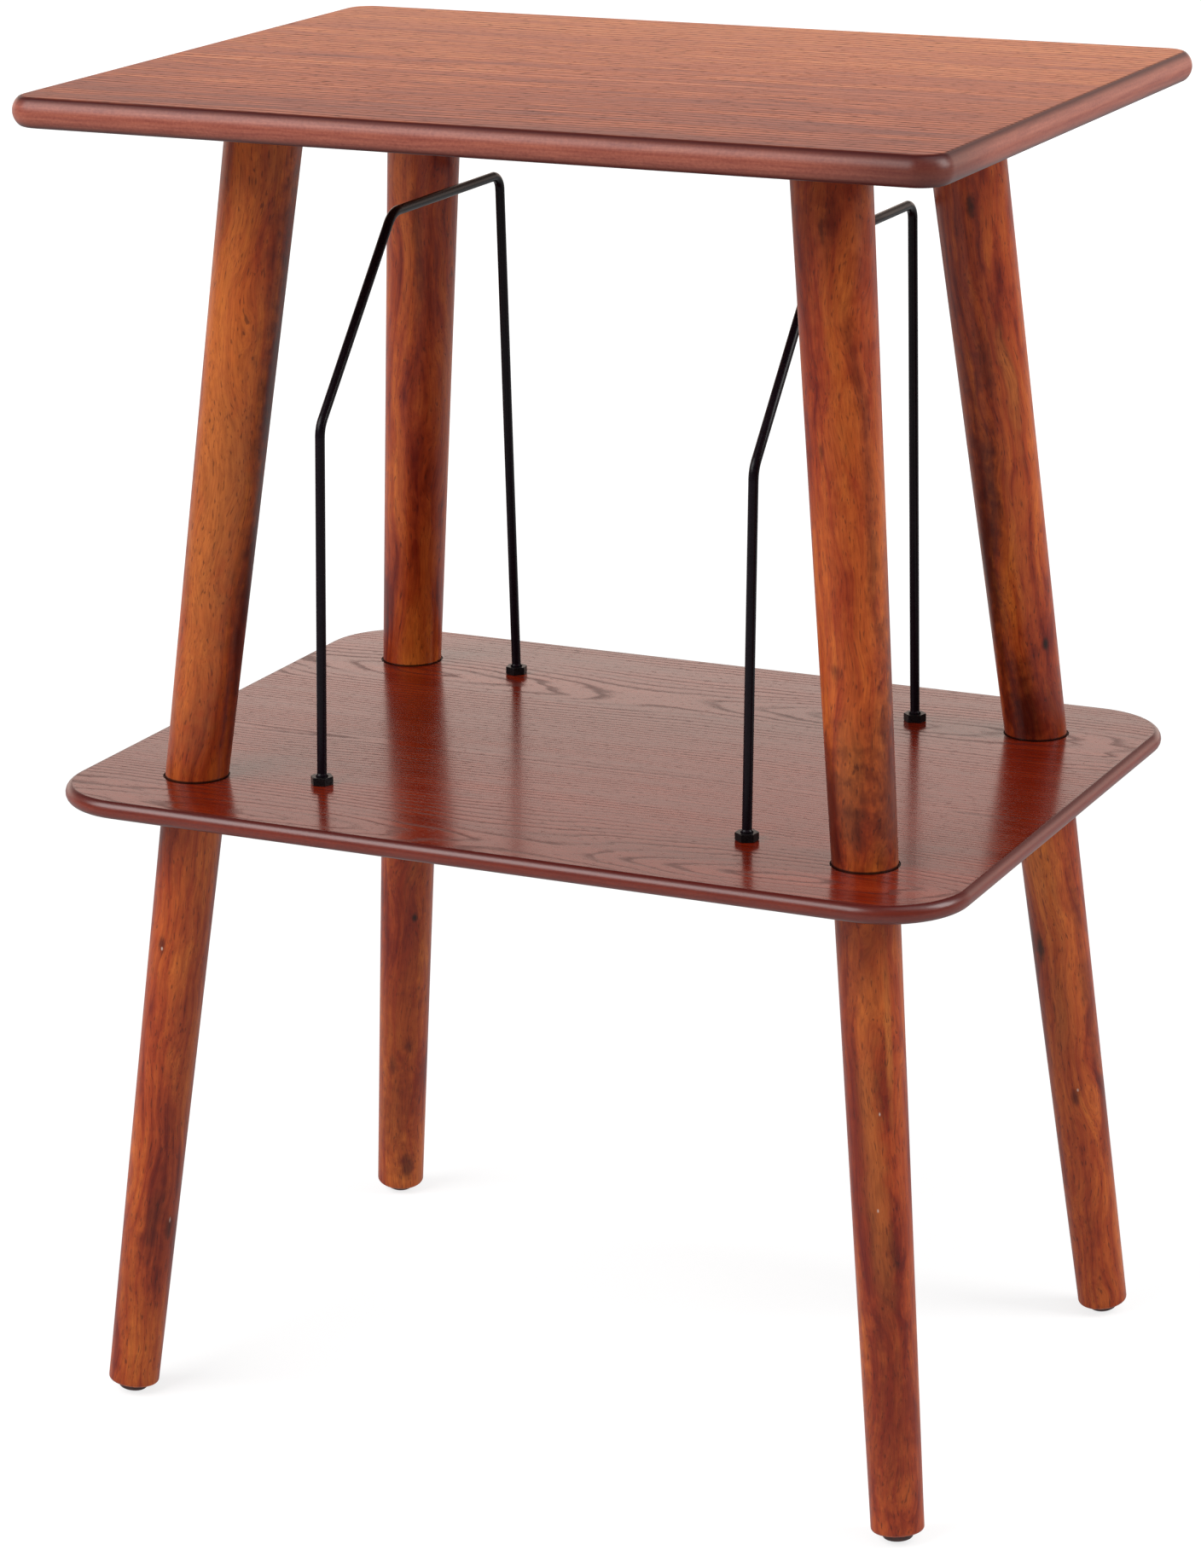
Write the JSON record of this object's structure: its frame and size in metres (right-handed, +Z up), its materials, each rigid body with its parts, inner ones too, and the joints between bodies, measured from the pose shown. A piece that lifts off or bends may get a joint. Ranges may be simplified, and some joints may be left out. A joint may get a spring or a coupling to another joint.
{
  "type": "record storage stand",
  "caption": "Splayed-leg wooden stand with a rectangular top over a rounded shelf that carries bent wire dividers for jackets standing on edge.",
  "frame": {"origin": "on the floor, under the middle of the tabletop", "axes": "+X along the width to the right as seen from the front, +Y to the back, +Z up"},
  "size_m": [0.471, 0.352, 0.661],
  "materials": {
    "top_veneer": "satin lacquer over pinkish-brown open-grained veneer",
    "shelf_veneer": "gloss lacquer over deep red-brown cathedral-grained veneer",
    "stained_wood": "satin lacquer over orange-brown stained solid wood",
    "glide_plastic": "dark brown moulded plastic",
    "black_wire": "satin black powder coat",
    "black_nut": "satin black",
    "plain_steel": "zinc-plated",
    "insert_brass": "plain"
  },
  "bodies": {
    "root": {"tabletop": "top_veneer", "shelf": "shelf_veneer", "front_left_upper_leg": "stained_wood", "front_right_upper_leg": "stained_wood", "rear_left_upper_leg": "stained_wood", "rear_right_upper_leg": "stained_wood", "front_left_lower_leg": "stained_wood", "front_right_lower_leg": "stained_wood", "rear_left_lower_leg": "stained_wood", "rear_right_lower_leg": "stained_wood", "front_left_glide": "glide_plastic", "front_right_glide": "glide_plastic", "rear_left_glide": "glide_plastic", "rear_right_glide": "glide_plastic", "left_divider": "black_wire", "right_divider": "black_wire", "divider_upper_nuts": "black_nut", "divider_washers": "plain_steel", "divider_lower_nuts": "black_nut", "top_bolts": "plain_steel", "top_inserts": "insert_brass", "shelf_bolts": "plain_steel", "leg_inserts": "insert_brass", "glide_nails": "plain_steel"}
  },
  "joints": []
}
